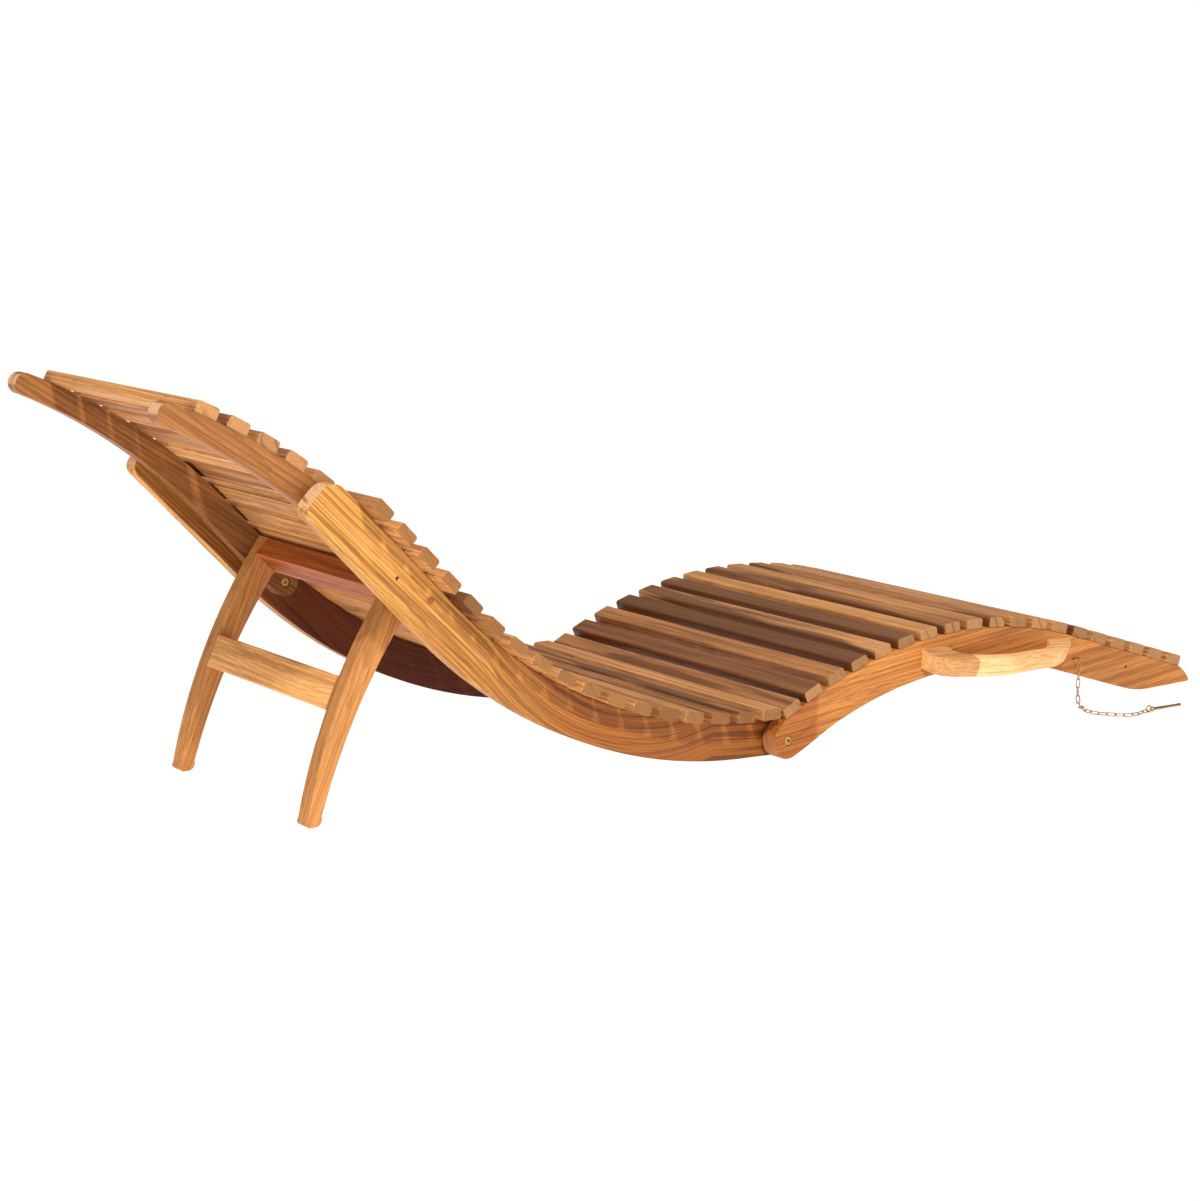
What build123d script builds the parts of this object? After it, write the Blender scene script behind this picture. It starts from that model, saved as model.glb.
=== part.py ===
"""Folding deck chair in teak with brass fittings.

Millimetres, +Z up, +X from the head to the foot end, -Y the side with the handle and the chain.
The design frame has its X zero on the hinge between seat and foot section and its Y zero on the
centre plane; every solid is then moved so that the origin is the bottom centre of the bounding box.
"""
import os
from math import atan2, cos, degrees, radians, sin

from build123d import *

# Driving dimensions ------------------------------------------------------------------
CHAIR_WIDTH = 600.0                       # length of the seat and foot slats, along Y
HEAD_WIDTH = 460.0                        # length of the head slats: they fold between the middle rails

SLAT_WIDTH = 33.5
SLAT_THICKNESS = 17.0
SLAT_TOP_ROUNDING = 4.6                   # long edges that a body lies on
SLAT_LOW_ROUNDING = 1.4
SLAT_END_ROUNDING = 1.0                   # edges around the sawn ends
BOARD_ROUNDING = 1.8                      # both sawn faces of rails and legs
SHORT_EDGE = 60.0                         # shorter edges of the legs stay sharp
ALL_SHARP = 1e4                           # head rails keep their thin sharp edges
SLAT_SEAT = 0.25                          # slats on the hollow rails stand on their two edges

MIDDLE_RAIL_DEPTH = 63.0                  # across the grain
FOOT_RAIL_DEPTH = 60.0
FOOT_RAIL_Y = (270.0, 299.0)              # inner and outer faces, from the centre plane
MIDDLE_RAIL_Y = (237.0, 266.0)
HEAD_RAIL_Y = (204.0, 231.0)
LEG_Y = (172.0, 200.0)

HINGE_HEIGHT = 28.0                       # foot hinge axis above the floor
HINGE_LUG_RADIUS = 28.0
HINGE_BOLT_RADIUS = 4.0
HEAD_PIVOT = (-570.0, 257.0)              # axis that the head section swings on
HEAD_LUG_RADIUS = 21.0
LEG_PIVOT = (-611.0, 308.0)               # axis that the leg frame swings on
PIVOT_BOLT_RADIUS = 4.0
RUNNING_GAP = 0.06                        # radial clearance of a bolt in its hole

BACK_SLATS = 17
BACK_PITCH = 49.85
FOOT_SLATS = 19
FOOT_PITCH = 48.4
HEAD_SLATS = 5
HEAD_PITCH = 49.0

RAIL_END = -72.0                          # head end of the middle rail, measured from the first slat
RAIL_TOP_CORNER = 26.0
RAIL_LOW_CORNER = 17.0
FOOT_RAIL_LENGTH = 888.0                  # from the first foot slat to the top of the toe
SOLE_START = 776.0                        # where the lower edge leaves its slope for the floor
SOLE_LENGTH = 96.0
TOE = (893.0, 3.0)
HEAD_RAIL_LENGTH = 516.0

LOCK_HOLE_RADIUS = 3.0                    # takes the chained pin when the chair is folded
LOCK_HOLE_FOOT = (734.0, 45.0)
LOCK_HOLE_MIDDLE = (-662.0, 344.0)

# Paths: the line that the slats stand on, as arcs of (length, turn in degrees) ---------
BACK_START = (-707.9, 438.6, -46.0)       # x, z and heading at the first back slat
BACK_STEPS = [(3.9 * BACK_PITCH, 0.0), (12.1 * BACK_PITCH, 45.2)]
FOOT_START = (6.7, 67.9, 27.0)            # at the first foot slat
FOOT_STEPS = [(610.0, -44.8), (280.0, 0.0)]
HEAD_START = (-982.0, 603.0, -21.5)       # at the head end of the rail
HEAD_STEPS = [(262.0, -17.0), (120.0, -7.5), (200.0, 0.0)]
FIRST_FOOT_SLAT = 3.5                     # the first foot slat stands closer to the second
FIRST_HEAD_SLAT = 66.0                    # distance of the first head slat along its rail


def along(start, steps, distance):
    """Point and heading on a chain of arcs, at a distance from its start."""
    x, z, heading = start
    last = len(steps) - 1
    for index, (length, turn) in enumerate(steps):
        step = distance if index == last else min(distance, length)
        bend = turn * step / length
        chord = step if abs(bend) < 1e-6 else step * sin(radians(bend / 2)) / radians(bend / 2)
        x += chord * cos(radians(heading + bend / 2))
        z += chord * sin(radians(heading + bend / 2))
        heading += bend
        distance -= step
        if distance <= 1e-6 and step < length:
            break
    return x, z, heading


def offset_point(start, steps, distance, drop):
    """Point that lies drop below the path, square to it."""
    x, z, heading = along(start, steps, distance)
    return x + drop * sin(radians(heading)), z - drop * cos(radians(heading))


def at(point, y=0.0):
    return Vector(point[0], y, point[1])


def polar(centre, radius, angle):
    return centre[0] + radius * cos(radians(angle)), centre[1] + radius * sin(radians(angle))


def board(edges, faces, shortest=0.0):
    """Board with the outline edges in the X-Z plane, between two distances from the centre plane.

    Its edges are rounded where they are longer than shortest.
    """
    inner, outer = faces
    outline = make_face(Wire(edges))
    body = Pos(0, inner, 0) * extrude(outline, amount=outer - inner, dir=(0, 1, 0))
    eased = [edge for edge in body.faces().filter_by(Axis.Y).edges() if edge.length > shortest]
    return fillet(eased, BOARD_ROUNDING) if eased else body


def cross_pin(centre, radius, faces):
    """Cylinder along Y."""
    inner, outer = faces
    middle = (centre[0], (inner + outer) / 2, centre[1])
    return Pos(*middle) * Rot(90, 0, 0) * Cylinder(radius, outer - inner)


def near(solid):
    """The same piece on the -Y side."""
    return mirror(solid, about=Plane.XZ)


def both_sides(solid):
    return [near(solid), solid]


# Slats ---------------------------------------------------------------------------------
def slat(path_point, length, lift=0.0):
    x, z, heading = path_point
    bar = Box(SLAT_WIDTH, length, SLAT_THICKNESS, align=(Align.CENTER, Align.CENTER, Align.MIN))
    long_edges = bar.edges().filter_by(Axis.Y).sort_by(Axis.Z)
    bar = fillet(long_edges[2:], SLAT_TOP_ROUNDING)
    bar = fillet(bar.edges().filter_by(Axis.Y).sort_by(Axis.Z)[:2], SLAT_LOW_ROUNDING)
    ends = bar.faces().filter_by(Axis.Y)
    bar = fillet(ends.edges(), SLAT_END_ROUNDING)
    return Pos(x, 0, z) * Rot(0, -heading, 0) * Pos(0, 0, lift) * bar


def head_slats():
    for number in range(HEAD_SLATS):
        place = along(HEAD_START, HEAD_STEPS, FIRST_HEAD_SLAT + number * HEAD_PITCH)
        yield f"slat_head_{number + 1}", slat(place, HEAD_WIDTH)


def back_slats():
    for number in range(BACK_SLATS):
        place = along(BACK_START, BACK_STEPS, number * BACK_PITCH)
        yield f"slat_back_{number + 1:02d}", slat(place, CHAIR_WIDTH, SLAT_SEAT)


def foot_slats():
    for number in range(FOOT_SLATS):
        place = along(FOOT_START, FOOT_STEPS, max(number * FOOT_PITCH, FIRST_FOOT_SLAT))
        yield f"slat_foot_{number + 1:02d}", slat(place, CHAIR_WIDTH)


# Rails ---------------------------------------------------------------------------------
def path_edges(start, steps, first, last, drop):
    """Lines and arcs that run drop below the path, between two distances along it."""
    edges = []
    passed = 0.0
    for index, (length, turn) in enumerate(steps):
        low = first if index == 0 else passed
        passed += length
        high = last if index == len(steps) - 1 else min(last, passed)
        if high <= low:
            break
        ends = [at(offset_point(start, steps, distance, drop)) for distance in (low, (low + high) / 2, high)]
        edges.append(ThreePointArc(*ends) if turn else Line(ends[0], ends[2]))
    return edges


def middle_rail():
    """S-shaped rail under the back and the seat, from its round head end to the foot hinge."""
    hinge = (0.0, HINGE_HEIGHT)
    seat_end = (BACK_SLATS - 1) * BACK_PITCH + 4.0
    top_edges = path_edges(BACK_START, BACK_STEPS, RAIL_END + RAIL_TOP_CORNER, seat_end, 0.0)
    low_edges = path_edges(BACK_START, BACK_STEPS, RAIL_END + RAIL_LOW_CORNER, seat_end - 14.0,
                           MIDDLE_RAIL_DEPTH)

    def corner(radius, drop, side):
        """Quarter circle at the head end: side is 1 for the corner under the slats, -1 for the other."""
        near_arc = radius * (1 - cos(radians(45)))
        points = [(RAIL_END + radius, drop), (RAIL_END + near_arc, drop + side * near_arc),
                  (RAIL_END, drop + side * radius)]
        return ThreePointArc(*[at(offset_point(BACK_START, BACK_STEPS, *point)) for point in points])

    top_corner = corner(RAIL_TOP_CORNER, 0.0, 1)
    low_corner = corner(RAIL_LOW_CORNER, MIDDLE_RAIL_DEPTH, -1)
    lug_top = at(polar(hinge, HINGE_LUG_RADIUS, 95))
    lug_foot = at(polar(hinge, HINGE_LUG_RADIUS, -90))
    nose = [
        Line(top_edges[-1] @ 1, lug_top),
        ThreePointArc(lug_top, at(polar(hinge, HINGE_LUG_RADIUS, 0)), lug_foot),
        Line(lug_foot, low_edges[-1] @ 1),
    ]
    end_grain = [Line(top_corner @ 1, low_corner @ 1)]
    rail = board(top_edges + nose + low_edges + [top_corner, low_corner] + end_grain, MIDDLE_RAIL_Y)
    inner, outer = MIDDLE_RAIL_Y
    rail -= cross_pin(hinge, HINGE_BOLT_RADIUS, (inner - 1, outer + 1))
    rail -= cross_pin(LOCK_HOLE_MIDDLE, LOCK_HOLE_RADIUS, (inner - 1, outer + 1))
    rail -= cross_pin(HEAD_PIVOT, PIVOT_BOLT_RADIUS, (inner - 1, inner + HEAD_BOLT_GRIP))
    rail -= cross_pin(LEG_PIVOT, PLUG_RADIUS, (outer - PLUG_DEPTH, outer + 1))
    return rail


def foot_rail():
    """Humped rail of the foot section, with a round lug on the hinge and a flat toe on the floor."""
    hinge = (0.0, HINGE_HEIGHT)
    top_edges = path_edges(FOOT_START, FOOT_STEPS, -15.0, FOOT_RAIL_LENGTH, 0.0)
    low_edges = path_edges(FOOT_START, FOOT_STEPS, 84.0, SOLE_START, FOOT_RAIL_DEPTH)
    sole_head = at((TOE[0] - SOLE_LENGTH, 0.0))
    lug_top = at(polar(hinge, HINGE_LUG_RADIUS, 125))
    lug_low = at(polar(hinge, HINGE_LUG_RADIUS, -68))
    lug_way = Vector(-cos(radians(22)), 0, -sin(radians(22)))
    toe_nose = at((TOE[0] - 11.0, 17.0))
    edges = top_edges + low_edges + [
        ThreePointArc(top_edges[-1] @ 1, toe_nose, at(TOE)),
        Line(at(TOE), at((TOE[0] - 4.0, 0.0))),
        Line(at((TOE[0] - 4.0, 0.0)), sole_head),
        Spline([sole_head, low_edges[-1] @ 1], tangents=[Vector(-1, 0, 0), (low_edges[-1] % 1) * -1]),
        Spline([low_edges[0] @ 0, lug_low], tangents=[(low_edges[0] % 0) * -1, lug_way]),
        ThreePointArc(lug_low, at(polar(hinge, HINGE_LUG_RADIUS, 200)), lug_top),
        Line(lug_top, top_edges[0] @ 0),
    ]
    rail = board(edges, FOOT_RAIL_Y)
    inner, outer = FOOT_RAIL_Y
    rail -= cross_pin(hinge, HINGE_BOLT_RADIUS + RUNNING_GAP, (inner - 1, outer + 1))
    rail -= cross_pin(hinge, HINGE_RECESS_RADIUS, (outer - HINGE_RECESS_DEPTH, outer + 1))
    rail -= cross_pin(LOCK_HOLE_FOOT, LOCK_HOLE_RADIUS, (inner - 1, outer + 1))
    return rail


HEAD_RAIL_DEPTHS = (30.0, 43.0)           # at the tip, and from the end of the taper on
HEAD_RAIL_TAPER = 480.0


def head_depth(distance):
    """The head rail is slimmest at its tip and deepest at its pivot."""
    slim, deep = HEAD_RAIL_DEPTHS
    return slim + (deep - slim) * min(distance / HEAD_RAIL_TAPER, 1.0)


def head_rail():
    """Slender rail of the head section: round tip, gentle bend, round lug on the head pivot."""
    def low(distance):
        return at(offset_point(HEAD_START, HEAD_STEPS, distance, head_depth(distance)))

    top_edges = path_edges(HEAD_START, HEAD_STEPS, 14.0, HEAD_RAIL_LENGTH, 0.0)
    heading = HEAD_START[2] + sum(turn for _, turn in HEAD_STEPS)
    bend_end = sum(length for length, _ in HEAD_STEPS[:2])
    tip = at(offset_point(HEAD_START, HEAD_STEPS, 0.0, 17.0))
    lug_top = at(polar(HEAD_PIVOT, HEAD_LUG_RADIUS, heading + 70))
    lug_nose = at(polar(HEAD_PIVOT, HEAD_LUG_RADIUS, heading - 10))
    lug_low = at(polar(HEAD_PIVOT, HEAD_LUG_RADIUS, heading - 90))
    edges = top_edges + [
        Line(top_edges[-1] @ 1, lug_top),
        ThreePointArc(lug_top, lug_nose, lug_low),
        Line(lug_low, low(bend_end)),
        ThreePointArc(low(bend_end), low(bend_end / 2), low(20.0)),
        ThreePointArc(low(20.0), tip, top_edges[0] @ 0),
    ]
    rail = board(edges, HEAD_RAIL_Y, ALL_SHARP)
    inner, outer = HEAD_RAIL_Y
    rail -= cross_pin(HEAD_PIVOT, PIVOT_BOLT_RADIUS + RUNNING_GAP, (inner - 1, outer + 1))
    rail -= cross_pin(HEAD_PIVOT, BOLT_HEAD_RADIUS + 1.5, (inner - 1, inner + BOLT_HEAD_DEPTH + 2.5))
    rail -= cross_pin(LEG_PIVOT, PIVOT_BOLT_RADIUS, (inner - 1, outer - 6.0))
    return rail


# Leg frame -----------------------------------------------------------------------------
TOP_BAR_SIZE = (45.0, 30.0)               # along the back slats and square to them
LOWER_BAR_SIZE = (26.0, 50.0)
LOWER_BAR_CENTRE = (-701.0, 171.5)
LOWER_BAR_TILT = 65.0                     # lean of the leg where the bar joins it
SHIN_FRONT = (-691.5, 146.0)              # half-way down the leg's two curved edges
SHIN_REAR = (-713.5, 174.0)
TOE_FRONT = (-747.5, 12.0)                # where the curved edges end above the floor
TOE_REAR = (-770.5, 7.0)
SOLE_FRONT = (-758.0, 0.0)
SOLE_REAR = (-766.0, 0.0)


def leg():
    """Curved leg that tapers from a square head under the slats to a rounded foot."""
    back_slope = BACK_START[2]
    along_slats = (cos(radians(back_slope)), sin(radians(back_slope)))
    out = (-along_slats[1], along_slats[0])
    half_length, half_height = TOP_BAR_SIZE[0] / 2, TOP_BAR_SIZE[1] / 2

    def head(u, v):
        return LEG_PIVOT[0] + u * along_slats[0] + v * out[0], LEG_PIVOT[1] + u * along_slats[1] + v * out[1]

    rear_top, front_top = head(-half_length, half_height), head(half_length, half_height)
    front_low = head(half_length, -half_height)
    edges = [
        Line(at(rear_top), at(front_top)),
        Line(at(front_top), at(front_low)),
        ThreePointArc(at(front_low), at(SHIN_FRONT), at(TOE_FRONT)),
        ThreePointArc(at(TOE_FRONT), at((-751.5, 2.4)), at(SOLE_FRONT)),
        Line(at(SOLE_FRONT), at(SOLE_REAR)),
        ThreePointArc(at(SOLE_REAR), at((-769.9, 2.2)), at(TOE_REAR)),
        ThreePointArc(at(TOE_REAR), at(SHIN_REAR), at(rear_top)),
    ]
    body = board(edges, LEG_Y, SHORT_EDGE)
    inner, outer = LEG_Y
    return body - cross_pin(LEG_PIVOT, PIVOT_BOLT_RADIUS + RUNNING_GAP, (inner + 6.0, outer + 1))


def top_bar():
    width, height = TOP_BAR_SIZE
    bar = Box(width, 2 * LEG_Y[0], height)
    bar = fillet(bar.edges().filter_by(Axis.Y), 1.5)
    return Pos(LEG_PIVOT[0], 0, LEG_PIVOT[1]) * Rot(0, -BACK_START[2], 0) * bar


def lower_bar():
    width, height = LOWER_BAR_SIZE
    bar = Box(width, 2 * LEG_Y[0], height)
    bar = fillet(bar.edges().filter_by(Axis.Y), 2.0)
    return Pos(LOWER_BAR_CENTRE[0], 0, LOWER_BAR_CENTRE[1]) * Rot(0, 90 - LOWER_BAR_TILT, 0) * bar


# Carrying handle -----------------------------------------------------------------------
HANDLE_X = (268.0, 592.0)
HANDLE_Z = (120.0, 95.0)                  # centre height at its two ends: it follows the rail
HANDLE_HEIGHT = 31.0
HANDLE_REACH = 45.0                       # from the rail's face to the outside of the grip
HANDLE_GRIP = 21.0
HANDLE_ROUNDING = 5.0
HANDLE_DROOP = 20.0                       # degrees that the grip hangs below its feet
HANDLE_SEAMS = (352.0, 430.0)             # glue lines between its three pieces


def handle_body():
    """Bow of wood: two feet on the rail and a grip that stands off for the fingers."""
    left, right = HANDLE_X
    face = FOOT_RAIL_Y[1]
    root = face - HANDLE_HEIGHT
    outer = face + HANDLE_REACH
    middle = (left + right) / 2

    def point(x, y):
        return Vector(x, y, 0)

    outside = Spline([point(left, face + 12), point(left + 12, face + 27), point(left + 62, outer - 4),
                      point(middle - 10, outer), point(right - 90, outer - 9),
                      point(right - 28, face + 24), point(right, face + 4)])
    inside = Spline([point(right - 48, face), point(right - 62, face + 10), point(right - 108, face + 19),
                     point(middle, outer - HANDLE_GRIP), point(left + 98, face + 21),
                     point(left + 66, face + 12), point(left + 54, face)])
    outline = make_face(Wire([
        Line(point(left, root), outside @ 0), outside, Line(outside @ 1, point(right, root)),
        Line(point(right, root), point(right - 48, root)), Line(point(right - 48, root), inside @ 0),
        inside, Line(inside @ 1, point(left + 54, root)), Line(point(left + 54, root), point(left, root))]))
    bow = extrude(outline, amount=HANDLE_HEIGHT / 2, both=True)
    bow = fillet([edge for edge in bow.edges() if edge.length > 100], HANDLE_ROUNDING)
    slope = degrees(atan2(HANDLE_Z[1] - HANDLE_Z[0], right - left))
    bow = Pos(-middle, -face, 0) * bow
    bow = Pos(middle, face, sum(HANDLE_Z) / 2) * Rot(0, -slope, 0) * Rot(-HANDLE_DROOP, 0, 0) * bow
    beyond_rail = Pos(middle, face, 0) * Box(2 * (right - left), 4 * HANDLE_REACH, 600,
                                             align=(Align.CENTER, Align.MIN, Align.CENTER))
    return near(bow & beyond_rail)


def handle():
    """The three glued pieces of the handle."""
    bow = handle_body()
    low, high = HANDLE_SEAMS
    spans = [(HANDLE_X[0] - 50, low), (low, high), (high, HANDLE_X[1] + 50)]
    pieces = []
    for first, last in spans:
        keep = Pos((first + last) / 2, -FOOT_RAIL_Y[1], 0) * Box(last - first, 200, 600)
        pieces.append(bow & keep)
    return pieces


# Bolts, washers and plugs ----------------------------------------------------------------
BOLT_HEAD_RADIUS = 6.5
BOLT_HEAD_DEPTH = 4.0
HEX_RADIUS = 2.9
HINGE_RECESS_RADIUS = 7.6
HINGE_RECESS_DEPTH = 5.4
HEAD_BOLT_GRIP = 22.0                     # length of the head pivot's thread in the middle rail
PLUG_RADIUS = 5.5
PLUG_DEPTH = 8.0


def socket_bolt(centre, head_face, tip, radius=PIVOT_BOLT_RADIUS):
    """Bolt along Y: the outside of its head at head_face, its end at tip."""
    toward = 1 if tip > head_face else -1
    shoulder = head_face + toward * BOLT_HEAD_DEPTH
    head = cross_pin(centre, BOLT_HEAD_RADIUS, sorted((head_face, shoulder)))
    shank = cross_pin(centre, radius, sorted((shoulder, tip)))
    socket = extrude(Plane.XZ * RegularPolygon(HEX_RADIUS, 6), amount=BOLT_HEAD_DEPTH * 0.7, both=True)
    return (head + shank) - Pos(centre[0], head_face, centre[1]) * socket


def hinge_bolts():
    outside = FOOT_RAIL_Y[1] - 1.0
    return both_sides(socket_bolt((0.0, HINGE_HEIGHT), outside, MIDDLE_RAIL_Y[0] + 0.5, HINGE_BOLT_RADIUS))


def hinge_washers():
    gap = (MIDDLE_RAIL_Y[1], FOOT_RAIL_Y[0] - 0.4)
    ring = cross_pin((0.0, HINGE_HEIGHT), 11.0, gap) - cross_pin((0.0, HINGE_HEIGHT), 4.5, (200, 300))
    return both_sides(ring)


def head_pivot_bolts():
    inside = HEAD_RAIL_Y[0] + 2.0
    return both_sides(socket_bolt(HEAD_PIVOT, inside, MIDDLE_RAIL_Y[0] + HEAD_BOLT_GRIP))


def leg_pivot_bolts():
    return both_sides(cross_pin(LEG_PIVOT, PIVOT_BOLT_RADIUS, (LEG_Y[0] + 6.5, HEAD_RAIL_Y[1] - 6.0)))


def rail_plugs():
    outer = MIDDLE_RAIL_Y[1]
    return both_sides(cross_pin(LEG_PIVOT, PLUG_RADIUS, (outer - PLUG_DEPTH, outer + 0.3)))


# Chain and locking pin --------------------------------------------------------------------
LINK_LENGTH = 17.0
LINK_WIDTH = 7.4
LINK_WIRE = 0.8                           # wire radius
LINK_PITCH = LINK_LENGTH - 4 * LINK_WIRE - 0.5
LINK_ROLL = 25.0                          # lean of the links that lie nearly flat
STAPLE_PLACE = (610.0, 76.0)
STAPLE_RADIUS = 4.5
STAPLE_STAND_OFF = 5.5                    # from the rail's face to the start of the bend
STAPLE_ROOT = 8.0                         # length of each end inside the rail
STAPLE_WIRE = 1.1
CHAIN_ROUTE = [                           # hanging from the staple, then lying on the floor
    (610.0, -309.0, 70.0), (609.0, -310.0, 40.0), (605.0, -314.0, 16.0), (596.0, -326.0, 4.4),
    (584.0, -345.0, 4.0), (577.0, -366.0, 4.0), (582.0, -386.0, 4.0), (598.0, -408.0, 4.0),
    (618.0, -421.5, 4.0), (640.0, -420.0, 4.0), (658.0, -417.6, 4.2)]
LOCK_PIN_RADIUS = 2.4
LOCK_PIN_HEAD = 4.4
PIN_RING_RADIUS = 5.2
PIN_RING_WIRE = 1.1
PIN_RING_PLACE = (660.7, -416.9, 6.5)     # stands on edge, through the last link
PIN_RING_TURN = 8.0
LOCK_PIN_START = (670.5, -415.6, 4.7)
LOCK_PIN_END = (738.0, -415.0, 2.6)


def chain_link():
    """Long round-wire link, lying in the X-Y plane, long side along X."""
    straight = LINK_LENGTH / 2 - LINK_WIDTH / 2
    side = LINK_WIDTH / 2 - LINK_WIRE
    wire = Wire([
        Line((-straight, side), (straight, side)),
        ThreePointArc((straight, side), (straight + side, 0), (straight, -side)),
        Line((straight, -side), (-straight, -side)),
        ThreePointArc((-straight, -side), (-straight - side, 0), (-straight, side))])
    section = Plane(origin=(-straight, side, 0), z_dir=(1, 0, 0)) * Circle(LINK_WIRE)
    return sweep(section, path=wire)


def chain():
    """Links along the route, each turned a quarter from the last."""
    route = Spline([Vector(*point) for point in CHAIN_ROUTE])
    count = int(route.length / LINK_PITCH)
    link = chain_link()
    links = []
    for number in range(count):
        where = (number + 0.5) / count
        tangent = route % where
        side = Vector(0, 0, 1).cross(tangent)
        if side.length < 0.3:
            side = Vector(1, 0, 0)
        centre = route @ where
        clear = LINK_WIDTH / 2 + abs(tangent.Z) * LINK_LENGTH / 2
        centre = Vector(centre.X, centre.Y, max(centre.Z, clear))
        flat = Plane(origin=centre, x_dir=tangent, z_dir=tangent.cross(side.normalized()))
        roll = LINK_ROLL + 90 * (number % 2)
        links.append(flat.location * Rot(roll, 0, 0) * link)
    return links


def staple():
    """Wire loop with both ends in the foot rail."""
    x, z = STAPLE_PLACE
    left, right = x - STAPLE_RADIUS, x + STAPLE_RADIUS
    root = -FOOT_RAIL_Y[1] + STAPLE_ROOT
    bend = -FOOT_RAIL_Y[1] - STAPLE_STAND_OFF
    wire = Wire([
        Line((left, root, z), (left, bend, z)),
        ThreePointArc((left, bend, z), (x, bend - STAPLE_RADIUS, z), (right, bend, z)),
        Line((right, bend, z), (right, root, z))])
    return [sweep(Plane(origin=(left, root, z), z_dir=(0, -1, 0)) * Circle(STAPLE_WIRE), path=wire)]


def lock_pin():
    """Round pin with a ring through its head."""
    start, end = Vector(*LOCK_PIN_START), Vector(*LOCK_PIN_END)
    line = Line(start, end)
    shank = sweep(Plane(origin=start, z_dir=line % 0) * Circle(LOCK_PIN_RADIUS), path=line)
    head = Pos(*start) * Sphere(LOCK_PIN_HEAD)
    ring = Pos(*PIN_RING_PLACE) * Rot(90, 0, PIN_RING_TURN) * Torus(PIN_RING_RADIUS, PIN_RING_WIRE)
    return [shank + head + ring]


# Assembly ---------------------------------------------------------------------------------
def all_parts():
    parts = {}
    for group in (head_slats, back_slats, foot_slats):
        parts.update(group())
    for name, solid in (("head_rail", head_rail()), ("middle_rail", middle_rail()),
                        ("foot_rail", foot_rail()), ("leg", leg())):
        inner, outer = near(solid), solid
        if name == "foot_rail":
            x, z = STAPLE_PLACE
            for side in (-4.5, 4.5):
                inner -= cross_pin((x + side, z), 1.1, (-FOOT_RAIL_Y[1] - 1, -FOOT_RAIL_Y[1] + 8))
        parts[f"{name}_near"], parts[f"{name}_far"] = inner, outer
    parts["top_bar"] = top_bar()
    parts["lower_bar"] = lower_bar()
    parts["handle"] = handle()
    parts["hinge_bolts"] = hinge_bolts()
    parts["hinge_washers"] = hinge_washers()
    parts["head_pivot_bolts"] = head_pivot_bolts()
    parts["leg_pivot_bolts"] = leg_pivot_bolts()
    parts["rail_plugs"] = rail_plugs()
    parts["chain"] = chain()
    parts["staple"] = staple()
    parts["lock_pin"] = lock_pin()
    return parts


def grouped(piece):
    solids = piece if isinstance(piece, list) else [piece]
    return Compound(children=[solid for item in solids for solid in item.solids()])


if __name__ == "__main__":
    os.makedirs("parts", exist_ok=True)
    assembly = {name: grouped(piece) for name, piece in all_parts().items()}
    boxes = [piece.bounding_box() for piece in assembly.values()]
    low = [min(getattr(box.min, axis) for box in boxes) for axis in "XYZ"]
    high = [max(getattr(box.max, axis) for box in boxes) for axis in "XYZ"]
    shift = Location((-(low[0] + high[0]) / 2, -(low[1] + high[1]) / 2, -low[2]))
    print("shift", shift.position, "low", low, "high", high)
    for name, piece in assembly.items():
        export_step(piece.moved(shift), f"parts/{name}.step")
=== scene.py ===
"""Folding deck chair: looks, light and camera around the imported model."""
import math
import random
from collections import namedtuple

import bpy
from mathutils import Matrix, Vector


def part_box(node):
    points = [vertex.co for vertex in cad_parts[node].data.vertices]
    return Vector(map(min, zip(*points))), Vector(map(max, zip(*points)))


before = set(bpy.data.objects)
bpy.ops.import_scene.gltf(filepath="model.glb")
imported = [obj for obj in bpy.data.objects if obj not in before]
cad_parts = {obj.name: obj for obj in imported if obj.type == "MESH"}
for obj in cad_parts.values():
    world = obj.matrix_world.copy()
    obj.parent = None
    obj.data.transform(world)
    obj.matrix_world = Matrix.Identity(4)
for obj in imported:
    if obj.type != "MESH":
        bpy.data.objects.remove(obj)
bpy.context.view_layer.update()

# Places, directions and colours ---------------------------------------------------------------
bolt_low, bolt_high = (Vector(corner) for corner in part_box("hinge_bolts"))
HINGE = Vector(((bolt_low.x + bolt_high.x) / 2, (bolt_low.y + bolt_high.y) / 2, 0.0))
ALONG = Vector((1, 0, 0))
ACROSS = Vector((0, 1, 0))


def sloping(degrees):
    """Unit vector along the chair, at an angle above the horizon."""
    return Vector((math.cos(math.radians(degrees)), 0.0, math.sin(math.radians(degrees))))


def linear(red, green, blue):
    """Shader colour for screen values from 0 to 255."""
    return tuple(((value / 255 + 0.055) / 1.055) ** 2.4 for value in (red, green, blue)) + (1.0,)


# Camera, floor and light ----------------------------------------------------------------------
LENS = 76.6                       # mm, on a sensor 36 mm wide
CAMERA_PLACE = (-2.42606, -3.1323, 0.9717)
CAMERA_DOWN = 11.09               # degrees below the horizon
CAMERA_RIGHT = 36.22              # degrees to the right of straight across the chair
AMBIENT = 0.36                    # white light from all round, on the chair
BACKDROP = 1.08                   # the same light as the lens sees it
FLOOR_GREY = 0.80
FLOOR_REACH = 300.0
WHITE = (1.0, 1.0, 1.0, 1.0)


def make_camera():
    lens = bpy.data.cameras.new("camera")
    lens.lens = LENS
    lens.sensor_width = 36.0
    camera = bpy.data.objects.new("camera", lens)
    camera.location = HINGE + Vector(CAMERA_PLACE)
    camera.rotation_euler = (math.radians(90 - CAMERA_DOWN), 0.0, -math.radians(CAMERA_RIGHT))
    bpy.context.collection.objects.link(camera)
    bpy.context.scene.camera = camera


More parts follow.
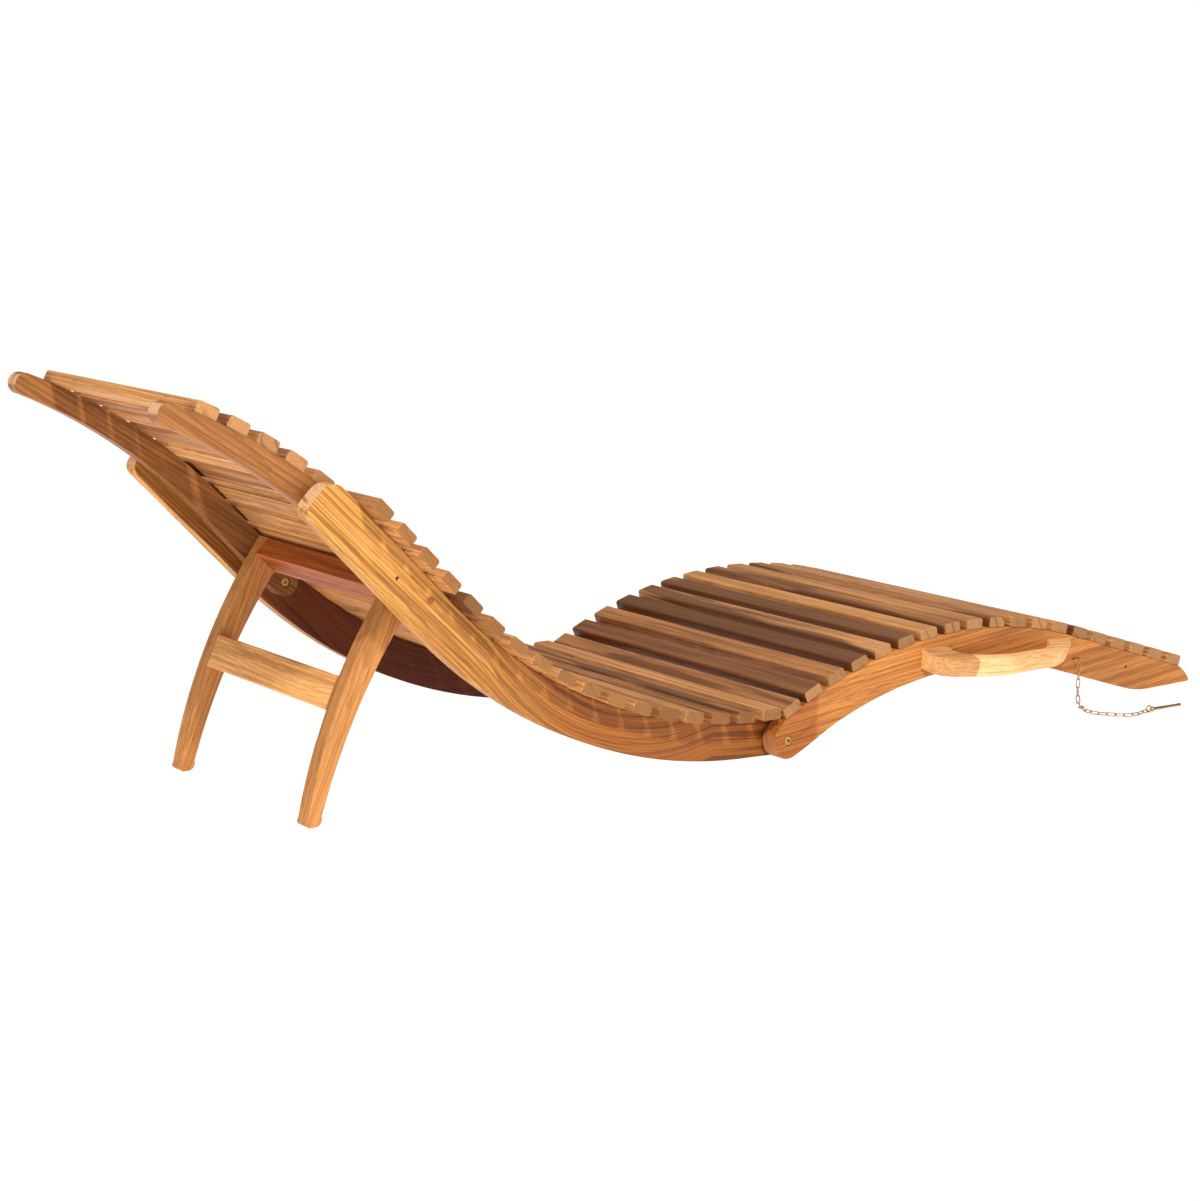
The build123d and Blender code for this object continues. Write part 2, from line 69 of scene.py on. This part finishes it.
def make_floor():
    """Pale floor that lights the chair from below.

    The lens sees the backdrop, which is the same white, in its place: a section that folds under the
    seat goes below floor level, and still shows.
    """
    near, far = -FLOOR_REACH, FLOOR_REACH
    mesh = bpy.data.meshes.new("floor")
    corners = [(near, near, 0), (far, near, 0), (far, far, 0), (near, far, 0)]
    mesh.from_pydata(corners, [], [(0, 1, 2, 3)])
    floor = bpy.data.objects.new("floor", mesh)
    floor.visible_camera = False
    bpy.context.collection.objects.link(floor)
    paint = bpy.data.materials.new("pale_floor")
    paint.use_nodes = True
    shader = paint.node_tree.nodes["Principled BSDF"]
    shader.inputs["Base Color"].default_value = (FLOOR_GREY, FLOOR_GREY, FLOOR_GREY, 1)
    shader.inputs["Emission Color"].default_value = WHITE
    shader.inputs["Emission Strength"].default_value = BACKDROP - FLOOR_GREY * AMBIENT
    shader.inputs["Roughness"].default_value = 0.9
    shader.inputs["Specular IOR Level"].default_value = 0.1
    mesh.materials.append(paint)


def make_world():
    """White backdrop for the lens, weaker white light on the chair."""
    world = bpy.data.worlds.new("studio")
    world.use_nodes = True
    nodes, links = world.node_tree.nodes, world.node_tree.links
    strength = nodes.new("ShaderNodeMapRange")
    strength.inputs["To Min"].default_value = AMBIENT
    strength.inputs["To Max"].default_value = BACKDROP
    path = nodes.new("ShaderNodeLightPath")
    links.new(path.outputs["Is Camera Ray"], strength.inputs["Value"])
    background = nodes["Background"]
    background.inputs["Color"].default_value = WHITE
    links.new(strength.outputs["Result"], background.inputs["Strength"])
    bpy.context.scene.world = world


def area_light(name, place, target, size, power, colour=(1, 1, 1)):
    """Round lamp. Its place and its target are measured from the hinge."""
    data = bpy.data.lights.new(name, "AREA")
    data.shape = "DISK"
    data.size = size
    data.energy = power
    data.color = colour
    lamp = bpy.data.objects.new(name, data)
    lamp.location = HINGE + Vector(place)
    lamp.rotation_euler = (Vector(target) - Vector(place)).to_track_quat("-Z", "Y").to_euler()
    bpy.context.collection.objects.link(lamp)


def make_lights():
    middle = (-0.1, 0.0, 0.2)
    legs = (-0.6, 0.0, 0.3)
    area_light("key", (-1.3, -3.1, 3.3), middle, 0.5, 168.0, (1.0, 0.985, 0.96))
    area_light("overhead", (0.2, 0.4, 3.2), middle, 2.6, 30.0)
    area_light("left_fill", (-4.2, -1.2, 0.9), legs, 1.6, 36.0, (1.0, 0.98, 0.95))
    bpy.context.scene.view_settings.view_transform = "Standard"
    bpy.context.scene.view_settings.look = "None"


# Node helpers ---------------------------------------------------------------------------------
class Graph:
    """A material's nodes, added and joined one call each."""

    def __init__(self, name):
        self.material = bpy.data.materials.new(name)
        self.material.use_nodes = True
        self.tree = self.material.node_tree
        self.shader = self.tree.nodes["Principled BSDF"]

    def node(self, kind, inputs=(), **settings):
        made = self.tree.nodes.new(kind)
        for key, value in settings.items():
            setattr(made, key, value)
        for key, value in dict(inputs).items():
            if isinstance(value, bpy.types.NodeSocket):
                self.tree.links.new(value, made.inputs[key])
            else:
                made.inputs[key].default_value = value
        return made

    def noise(self, vector, detail):
        values = {"Vector": vector, "Scale": 1.0, "Detail": detail, "Roughness": 0.55}
        return self.node("ShaderNodeTexNoise", values).outputs["Fac"]

    def rings(self, vector, scale, distortion, **values):
        """Wave texture that runs round the X axis."""
        values = {"Vector": vector, "Scale": scale, "Distortion": distortion,
                  **{key.replace("_", " "): value for key, value in values.items()}}
        return self.node("ShaderNodeTexWave", values, wave_type="RINGS", rings_direction="X")

    def stretch(self, vector, scale, shift=(0, 0, 0)):
        values = {"Vector": vector, "Scale": scale, "Location": shift}
        return self.node("ShaderNodeMapping", values).outputs["Vector"]

    def split(self, vector):
        return self.node("ShaderNodeSeparateXYZ", {0: vector}).outputs

    def vector_math(self, operation, inputs):
        return self.node("ShaderNodeVectorMath", inputs, operation=operation).outputs

    def remap(self, value, low, high, new_low=0.0, new_high=1.0, smooth=False):
        values = {"Value": value, "From Min": low, "From Max": high, "To Min": new_low, "To Max": new_high}
        kind = "SMOOTHSTEP" if smooth else "LINEAR"
        return self.node("ShaderNodeMapRange", values, interpolation_type=kind).outputs["Result"]

    def math(self, operation, first, second=0.0):
        return self.node("ShaderNodeMath", {0: first, 1: second}, operation=operation).outputs["Value"]

    def mix(self, amount, first, second, blend="MIX"):
        values = {0: amount, 6: first, 7: second}
        return self.node("ShaderNodeMix", values, data_type="RGBA", blend_type=blend).outputs[2]

    def bump(self, height, strength, distance):
        values = {"Height": height, "Strength": strength, "Distance": distance}
        normal = self.node("ShaderNodeBump", values).outputs["Normal"]
        self.tree.links.new(normal, self.shader.inputs["Normal"])

    def paint(self, colour, roughness):
        self.tree.links.new(colour, self.shader.inputs["Base Color"])
        self.tree.links.new(roughness, self.shader.inputs["Roughness"])


# Teak -----------------------------------------------------------------------------------------
PORE_TONE = linear(92, 54, 28)
HEART_TONE = linear(90, 50, 24)
WORN_TONE = linear(160, 116, 72)
SAWN_LATE_TONE = linear(128, 82, 46)
SAWN_SPECK_TONE = linear(112, 70, 38)
TEAK_SPECULAR = 0.2

# Where the tone of the wood changes along the chair, in metres from the hinge. An entry flagged for the
# inner face is painted shade, not a change in the wood: it darkens only the face that looks to -Y.
Join = namedtuple("Join", "start end tint inner", defaults=(False,))

# Where the fibres of a curved rail turn with it, in metres from the hinge, and by how many degrees.
Bow = namedtuple("Bow", "start end degrees")


def bowed(graph, place, along, centre, bow):
    """The place, turned so that straight fibres follow a curved rail."""
    lean = graph.remap(along, HINGE.x + bow.start, HINGE.x + bow.end, 0.0, math.radians(bow.degrees))
    pivot = Vector((HINGE.x + (bow.start + bow.end) / 2, centre.y, centre.z))
    values = {"Vector": place, "Center": pivot, "Angle": lean}
    return graph.node("ShaderNodeVectorRotate", values, rotation_type="Y_AXIS").outputs["Vector"]


def waved(graph, board, jitter, tilt):
    """The board's place, bent by slow waves and tilted a little off the pith."""
    values = {"Vector": graph.stretch(board, (2.2, 9.0, 9.0), jitter), "Scale": 1.0, "Detail": 2.0}
    wave = graph.node("ShaderNodeTexNoise", values).outputs["Color"]
    bend = graph.vector_math("SUBTRACT", {0: wave, 1: (0.5, 0.5, 0.5)})[0]
    swing = graph.vector_math("SCALE", {0: bend, "Scale": 0.045})[0]
    bent = graph.vector_math("ADD", {0: board, 1: swing})[0]
    return graph.node("ShaderNodeMapping", {"Vector": bent, "Rotation": tilt}).outputs["Vector"]


def late_wood(graph, board, waves, jitter, rings):
    """Mask of the dark growth rings: fine ones all over, bold ones in patches."""
    ring = graph.rings(waves, rings, 1.6, Detail=3.0, Detail_Scale=1.4)
    ring.wave_profile = "SAW"
    broad = graph.rings(waves, rings * 0.2, 2.5, Detail=2.0)
    patch = graph.noise(graph.stretch(board, (1.6, 22.0, 22.0), jitter * 4), 2.0)
    fine = graph.math("MULTIPLY", graph.remap(ring.outputs["Fac"], 0.45, 1.0, smooth=True), 0.55)
    bold = graph.math("MULTIPLY", graph.remap(broad.outputs["Fac"], 0.72, 1.0, smooth=True),
                      graph.remap(patch, 0.42, 0.62, smooth=True))
    return graph.math("MAXIMUM", fine, bold)


def with_heart(graph, colour, waves, jitter, heart):
    """Adds long streaks of dark heartwood. heart is how much of the board they cover."""
    vein = graph.noise(graph.stretch(waves, (1.3, 26.0, 26.0), jitter * 3), 3.0)
    edge = 0.62 - 0.34 * heart
    mask = graph.remap(vein, edge, edge + 0.07, 0.0, 0.85, smooth=True)
    return graph.mix(mask, colour, HEART_TONE)


def with_joins_and_shade(graph, colour, along, across, joins):
    """Tints the wood past each join. An entry flagged for the inner face is painted shade on the face that
    looks to -Y.
    """
    for join_or_shade in joins:
        reach = graph.remap(along, HINGE.x + join_or_shade.start, HINGE.x + join_or_shade.end, smooth=True)
        # Painted shade: an entry flagged for the inner face darkens only the face that looks to -Y
        if join_or_shade.inner:
            painted_shade_face = graph.remap(across, -0.3, -0.8, smooth=True)
            reach = graph.math("MULTIPLY", reach, painted_shade_face)
        colour = graph.mix(reach, colour, graph.mix(1.0, colour, join_or_shade.tint, "MULTIPLY"))
    return colour


def with_wear(graph, colour, board, jitter, up, worn):
    """Bleaches the faces that look up, in patches."""
    upward = graph.remap(up, 0.3, 0.9, 0.0, worn, smooth=True)
    bleached = graph.noise(graph.stretch(board, (6.0, 60.0, 60.0), jitter), 3.0)
    upward = graph.math("MULTIPLY", upward, graph.remap(bleached, 0.3, 0.65, 0.5, 1.0))
    return graph.mix(upward, colour, WORN_TONE)


def with_sawn_ends(graph, colour, board, late, along_grain, end_tone):
    """Gives end grain its own tone, with the growth rings and fine specks."""
    end = graph.remap(graph.math("ABSOLUTE", along_grain), 0.75, 0.95, smooth=True)
    speckle = graph.noise(graph.stretch(board, (500.0, 500.0, 500.0)), 2.0)
    sawn = graph.mix(graph.math("MULTIPLY", late, 0.8), end_tone, SAWN_LATE_TONE)
    sawn = graph.mix(graph.remap(speckle, 0.5, 0.75, 0.0, 0.5), sawn, SAWN_SPECK_TONE)
    return graph.mix(graph.math("MULTIPLY", end, 0.85), colour, sawn)


def teak(name, centre, grain, tones, end_tone, rings=70.0, heart=0.0, worn=0.0, joins=(), bow=None):
    """Oiled teak for one board.

    grain is the way its fibres run, tones its early and its late wood, and end_tone its end grain.
    heart is how much of it is dark heartwood, and worn how bleached its upper face is.
    """
    chance = random.Random(name)
    light, dark = tones
    graph = Graph(name)
    coordinates = graph.node("ShaderNodeTexCoord").outputs
    place, normal = coordinates["Object"], coordinates["Normal"]
    along = graph.split(place)["X"]
    facing = graph.split(normal)

    # Board space: X along the fibres, and the pith of the tree a few centimetres off the board's middle
    turn = grain.rotation_difference(ALONG)
    pith = Vector((0.0, chance.uniform(0.03, 0.09), chance.uniform(-0.05, -0.02)))
    tilt = Vector((chance.uniform(-0.02, 0.02), chance.uniform(-0.03, 0.03), 0.0))
    jitter = Vector([chance.uniform(0, 40) for _ in range(3)])
    fibres = bowed(graph, place, along, centre, bow) if bow else place
    values = {"Vector": fibres, "Location": pith - turn @ centre, "Rotation": turn.to_euler()}
    board = graph.node("ShaderNodeMapping", values).outputs["Vector"]
    waves = waved(graph, board, jitter, tilt)

    # Pores are short dark dashes along the fibres
    late = late_wood(graph, board, waves, jitter, rings)
    pores = graph.noise(graph.stretch(board, (26.0, 1300.0, 1300.0), jitter), 2.0)
    pores = graph.remap(pores, 0.56, 0.72, smooth=True)
    streak = graph.noise(graph.stretch(board, (3.0, 260.0, 260.0), jitter), 4.0)
    cloud = graph.noise(graph.stretch(board, (3.0, 14.0, 14.0), jitter * 2), 2.0)

    colour = graph.mix(graph.math("MULTIPLY", late, 0.75), light, dark)
    colour = graph.mix(graph.remap(streak, 0.44, 0.62, 0.0, 0.75), colour, dark)
    tint = graph.mix(graph.remap(cloud, 0.3, 0.7), (0.80, 0.76, 0.72, 1), (1.16, 1.12, 1.06, 1))
    colour = graph.mix(1.0, colour, tint, "MULTIPLY")
    if heart:
        colour = with_heart(graph, colour, waves, jitter, heart)
    # Tints past real joins, and paints shade on the face that looks to -Y for entries flagged for the
    # inner face
    colour = with_joins_and_shade(graph, colour, along, facing["Y"], joins)
    colour = graph.mix(graph.math("MULTIPLY", pores, 0.65), colour, PORE_TONE)
    if worn:
        colour = with_wear(graph, colour, board, jitter, facing["Z"], worn)
    along_grain = graph.vector_math("DOT_PRODUCT", {0: normal, 1: grain})["Value"]
    colour = with_sawn_ends(graph, colour, board, late, along_grain, end_tone)

    graph.paint(colour, graph.remap(streak, 0.3, 0.7, 0.44, 0.62))
    graph.shader.inputs["Specular IOR Level"].default_value = TEAK_SPECULAR
    relief = graph.math("SUBTRACT", graph.math("MULTIPLY", late, 0.35), pores)
    graph.bump(relief, 0.35, 0.0004)
    return graph.material


# Brass ----------------------------------------------------------------------------------------
def brass(name, tone, rough):
    """Satin brass with fine tool marks and dull patches."""
    graph = Graph(name)
    place = graph.node("ShaderNodeTexCoord").outputs["Object"]
    cloud = graph.noise(graph.stretch(place, (60.0, 60.0, 60.0)), 3.0)
    marks = graph.noise(graph.stretch(place, (300.0, 2200.0, 300.0)), 3.0)
    dull = tuple(channel * 0.45 for channel in tone[:3]) + (1.0,)
    colour = graph.mix(graph.remap(cloud, 0.45, 0.75, 0.0, 0.8), tone, dull)
    graph.paint(colour, graph.remap(marks, 0.3, 0.7, rough, rough + 0.2))
    graph.shader.inputs["Metallic"].default_value = 1.0
    graph.bump(marks, 0.15, 0.0002)
    return graph.material


# Dressing -------------------------------------------------------------------------------------
def dress(node, material):
    """Gives a CAD piece its material."""
    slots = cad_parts[node].data.materials
    slots.clear()
    slots.append(material)


def middle_of(node):
    low, high = (Vector(corner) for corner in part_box(node))
    return (low + high) / 2


# Slats ----------------------------------------------------------------------------------------
# The tones of a slat's early and late wood
TAN = (linear(208, 150, 94), linear(140, 88, 46))
BROWN = (linear(182, 124, 74), linear(112, 68, 36))
DEEP = (linear(138, 86, 48), linear(76, 42, 22))
HONEY = (linear(214, 156, 96), linear(152, 96, 50))

# The tones and the heartwood of the slats that aren't plain tan, numbered from the head end
# of the head and back sections, and from the hinge in the foot section
HEAD_SLATS = {1: (HONEY, 0.0), 2: (BROWN, 0.2), 3: (TAN, 0.1), 4: (BROWN, 0.0), 5: (TAN, 0.0)}
BACK_SLATS = {1: (BROWN, 0.2), 2: (TAN, 0.1), 4: (HONEY, 0.0), 5: (DEEP, 0.4), 6: (BROWN, 0.3),
              13: (BROWN, 0.1), 15: (BROWN, 0.15), 16: (BROWN, 0.3)}
FOOT_SLATS = {1: (BROWN, 0.35), 2: (DEEP, 0.75), 3: (BROWN, 0.1), 4: (DEEP, 0.7), 5: (TAN, 0.2),
              6: (BROWN, 0.75), 7: (HONEY, 0.0), 8: (BROWN, 0.55), 9: (TAN, 0.0), 10: (BROWN, 0.2),
              14: (DEEP, 0.6)}
SLAT_RINGS = 90.0
SLAT_WEAR = 0.15


def dress_slats(names, special, sawn):
    """Dresses a section's slats. sawn is the screen colour of their end grain, a little uneven."""
    for number, name in enumerate(names, 1):
        tones, heart = special.get(number, (TAN, 0.0))
        shade = random.Random(name + "_end").uniform(0.86, 1.06)
        end_tone = linear(*[channel * shade for channel in sawn])
        dress(name, teak(f"teak_{name}", middle_of(name), ACROSS, tones, end_tone, SLAT_RINGS, heart,
                         SLAT_WEAR))


# Rails, legs and handle -----------------------------------------------------------------------
GOLDEN = (linear(222, 162, 82), linear(138, 80, 32))
ORANGE = (linear(202, 134, 66), linear(150, 88, 40))
RUSSET = (linear(158, 104, 56), linear(112, 68, 34))
PEACH = (linear(192, 134, 74), linear(152, 98, 50))
AMBER = (linear(180, 96, 34), linear(120, 56, 18))
STRAW = (linear(236, 176, 108), linear(176, 118, 66))
CREAM = (linear(248, 204, 144), linear(204, 148, 96))
WALNUT = (linear(176, 104, 54), linear(120, 66, 32))
PALE_END = linear(226, 178, 136)
PLAIN_END = linear(176, 114, 66)
PLUG_END = linear(150, 84, 44)

SEAT_BOW = Bow(-0.52, -0.12, 38)
SEAT_JOINS = [Join(-0.68, -0.30, (0.48, 0.33, 0.24, 1))]
# The seat joins, plus painted shade on the far rail's inner face, which looks to -Y: darker all along it,
# and darker still from about the head pivot bolt towards the hinge
SEAT_JOINS_AND_INNER_SHADE = SEAT_JOINS + [Join(-2.0, -1.9, (0.60, 0.46, 0.38, 1), True),
                             Join(-0.66, -0.52, (0.42, 0.26, 0.18, 1), True)]
LUG_JOINS = [Join(0.062, 0.050, (0.74, 0.62, 0.52, 1))]
GLUE_JOINS = [Join(0.3525, 0.3515, (0.62, 0.50, 0.42, 1)), Join(0.4295, 0.4305, (0.97, 0.90, 0.84, 1))]

Board = namedtuple("Board", "grain tones end_tone rings joins bow", defaults=(70.0, (), None))
BOARDS = {
    "middle_rail_near": Board(sloping(-44), GOLDEN, PALE_END, 70.0, SEAT_JOINS, SEAT_BOW),
    # Same wood as the near rail; its inner face gets painted shade
    "middle_rail_far": Board(sloping(-44), GOLDEN, PALE_END, 70.0, SEAT_JOINS_AND_INNER_SHADE, SEAT_BOW),
    "foot_rail_near": Board(sloping(5), ORANGE, PLAIN_END, 80.0, LUG_JOINS),
    "foot_rail_far": Board(sloping(5), ORANGE, PLAIN_END, 80.0, LUG_JOINS),
    "head_rail_near": Board(sloping(-34), RUSSET, PALE_END, 100.0),
    "head_rail_far": Board(sloping(-34), RUSSET, PALE_END, 100.0),
    "leg_near": Board(sloping(66), PEACH, PALE_END, 110.0),
    "leg_far": Board(sloping(66), PEACH, PALE_END, 110.0),
    "top_bar": Board(ACROSS, AMBER, PLAIN_END),
    "lower_bar": Board(ACROSS, STRAW, PLAIN_END),
    "handle": Board(sloping(-4), CREAM, STRAW[0], 90.0, GLUE_JOINS),
}


def dress_boards():
    for name, board in BOARDS.items():
        dress(name, teak(f"teak_{name}", middle_of(name), board.grain, board.tones, board.end_tone,
                         board.rings, joins=board.joins, bow=board.bow))
    dress("rail_plugs", teak("teak_plugs", middle_of("rail_plugs"), ACROSS, WALNUT, PLUG_END))


def dress_metal():
    bright = brass("brass_bright", linear(176, 138, 84), 0.3)
    aged = brass("brass_aged", linear(196, 160, 104), 0.36)
    for name in ("chain", "staple", "lock_pin", "hinge_bolts"):
        dress(name, bright)
    for name in ("hinge_washers", "head_pivot_bolts", "leg_pivot_bolts"):
        dress(name, aged)


make_camera()
make_floor()
make_world()
make_lights()
dress_slats([f"slat_head_{number}" for number in range(1, 6)], HEAD_SLATS, (176, 126, 80))
dress_slats([f"slat_back_{number:02d}" for number in range(1, 18)], BACK_SLATS, (136, 90, 46))
dress_slats([f"slat_foot_{number:02d}" for number in range(1, 20)], FOOT_SLATS, (172, 126, 78))
dress_boards()
dress_metal()
